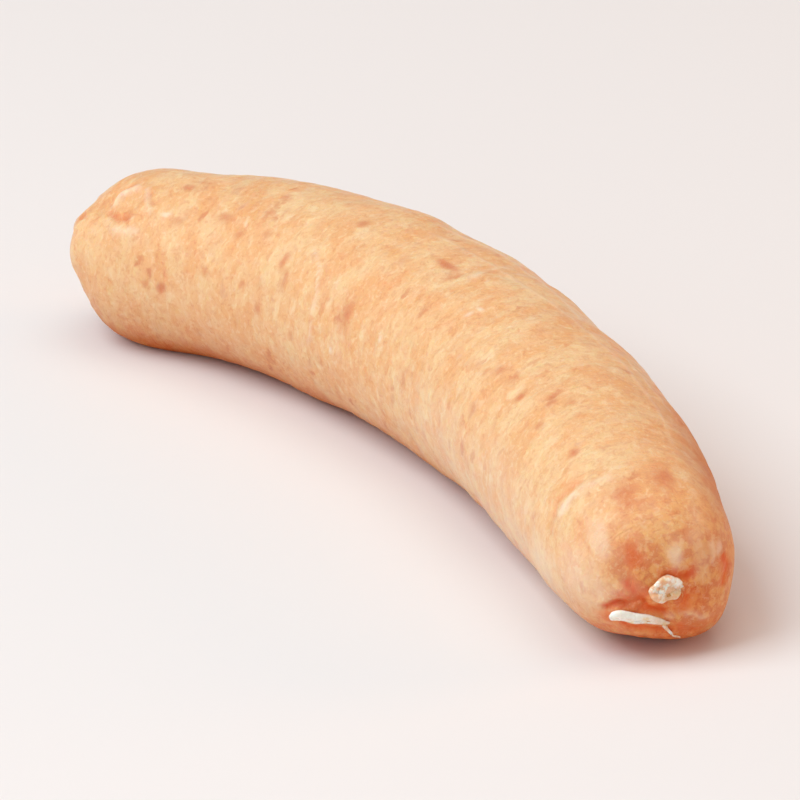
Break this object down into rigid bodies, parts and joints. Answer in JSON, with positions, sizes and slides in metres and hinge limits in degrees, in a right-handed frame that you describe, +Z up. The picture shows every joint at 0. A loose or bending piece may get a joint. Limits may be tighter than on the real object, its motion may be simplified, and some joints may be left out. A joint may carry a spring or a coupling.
{
  "type": "raw sausage",
  "caption": "Raw sausage in natural casing, bent in a gentle curve, with gathered ends and a cut bit of casing at one end",
  "frame": {"origin": "under the middle of the sausage's box, on the surface it rests on", "axes": "+X runs from the far tip to the near tip, where the cut casing is; +Y points to the back of the bend; +Z is up"},
  "size_m": [0.1598, 0.044, 0.0295],
  "materials": {
    "casing": "moist natural casing over raw meat, satin"
  },
  "bodies": {
    "root": {"sausage": "casing"}
  },
  "joints": []
}
